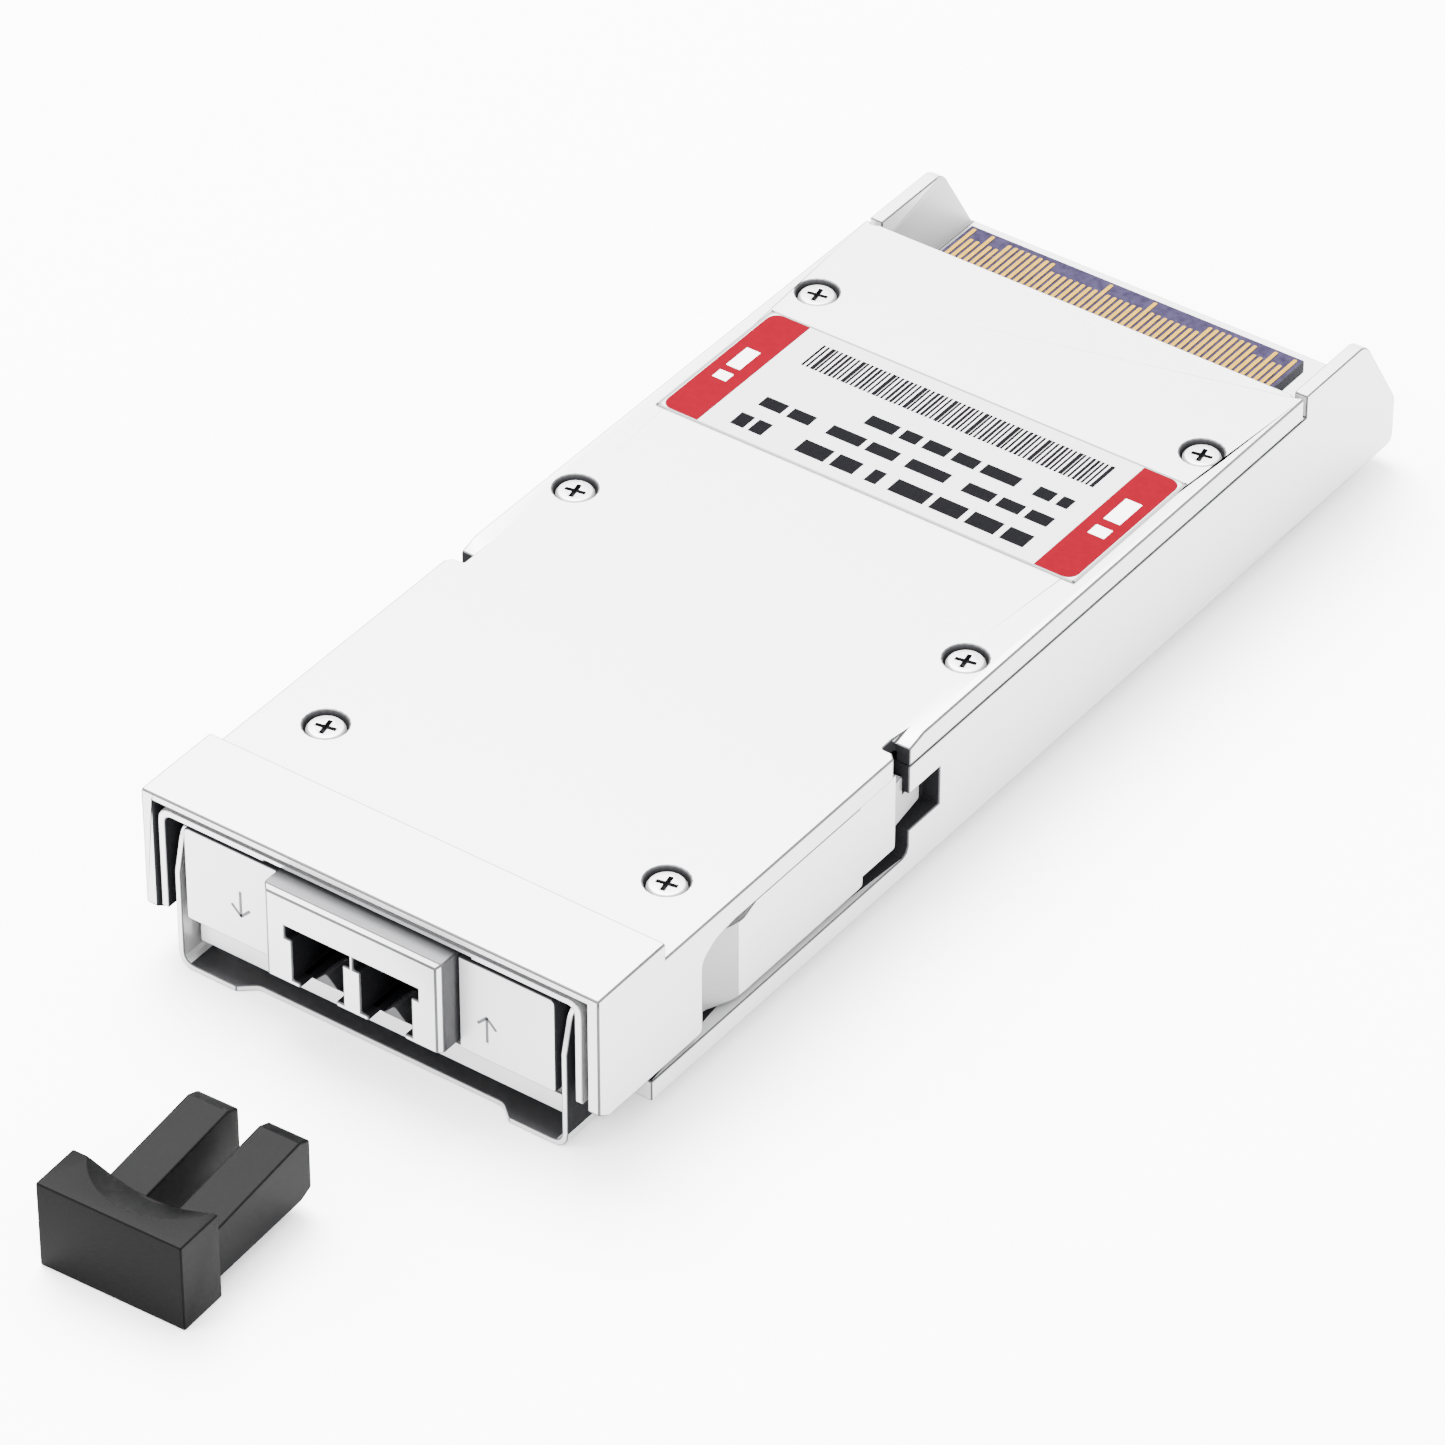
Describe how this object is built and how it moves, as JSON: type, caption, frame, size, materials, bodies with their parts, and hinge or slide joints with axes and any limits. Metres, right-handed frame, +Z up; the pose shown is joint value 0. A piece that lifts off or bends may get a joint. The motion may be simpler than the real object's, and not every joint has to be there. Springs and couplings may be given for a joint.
{
  "type": "optical transceiver module",
  "caption": "Pluggable optical module: cast cover and tray, duplex fibre receptacle, bail latch with sprung slider, board edge connector and a loose dust plug.",
  "frame": {"origin": "centre of the tray's flat underside, 53.5 mm behind the front face of the cover's head", "axes": "+Z up out of the lid, +Y from the fibre receptacle towards the edge connector, X across the body"},
  "size_m": [0.0414, 0.1373, 0.0154],
  "materials": {
    "nickel": "nickel-plated zinc die casting, fine satin",
    "screw_steel": "zinc-plated steel, turned",
    "latch_steel": "bright rolled stainless sheet",
    "bail_steel": "bright rolled stainless sheet",
    "spring_steel": "drawn spring wire",
    "gasket_rubber": "silver-filled conductive silicone",
    "label_film": "silver polyester film with a matt overlaminate and red end bands",
    "sleeve_ceramic": "ground zirconia",
    "gilt_metal": "gold-plated package",
    "flex_film": "polyimide flexible circuit",
    "board_laminate": "glass laminate with a dark violet solder mask",
    "contact_gold": "hard gold plating",
    "thermal_pad": "gap-filler pad",
    "plug_plastic": "moulded black elastomer, fine spark texture",
    "crystal_can": "plated can",
    "ferrite": "moulded ferrite",
    "chip_package": "moulded epoxy"
  },
  "bodies": {
    "housing": {"top_cover": "nickel", "bottom_tray": "nickel", "lid_screw_front_left": "screw_steel", "lid_screw_front_right": "screw_steel", "lid_screw_middle_left": "screw_steel", "lid_screw_middle_right": "screw_steel", "lid_screw_rear_left": "screw_steel", "lid_screw_rear_right": "screw_steel", "seam_gasket_left": "gasket_rubber", "seam_gasket_right": "gasket_rubber", "label": "label_film", "faceplate": "nickel", "lc_receptacle": "nickel", "ferrule_sleeve_receive": "sleeve_ceramic", "receiver_subassembly": "gilt_metal", "flex_receive": "flex_film", "ferrule_sleeve_send": "sleeve_ceramic", "transmitter_subassembly": "gilt_metal", "flex_send": "flex_film", "bail_pin_left": "bail_steel", "return_spring_left": "spring_steel", "bail_pin_right": "bail_steel", "return_spring_right": "spring_steel", "main_board": "board_laminate", "contact_row_top": "contact_gold", "contact_row_bottom": "contact_gold", "signal_processor": "chip_package", "laser_driver": "chip_package", "receive_amplifier": "chip_package", "controller": "chip_package", "power_converter": "ferrite", "clock_crystal": "crystal_can", "inductor_left": "ferrite", "inductor_right": "ferrite", "thermal_pad_processor": "thermal_pad", "thermal_pad_optics": "thermal_pad"},
    "latch_slider": {"latch_slider": "latch_steel"},
    "bail": {"bail": "bail_steel"},
    "dust_plug": {"dust_plug": "plug_plastic"}
  },
  "joints": [
    {"name": "bail_hinge", "type": "hinge", "parent": "housing", "child": "bail", "pos_m": [0, -0.0513, 0.00875], "axis": [-1, 0, 0], "range_deg": [0, 90]},
    {"name": "slider_slide", "type": "slide", "parent": "housing", "child": "latch_slider", "axis": [0, -1, 0], "range_m": [0, 0.00179], "stiffness_N_per_m": 300, "springref_m": -0.003, "deforming": ["return_spring_left", "return_spring_right"]},
    {"name": "dust_plug_slide", "type": "slide", "parent": "housing", "child": "dust_plug", "axis": [0, 1, 0], "range_m": [-0.02, 0.012]}
  ],
  "couplings": [
    {"joint": "bail_hinge", "follows": "slider_slide", "rad_per_m": 877.5}
  ]
}
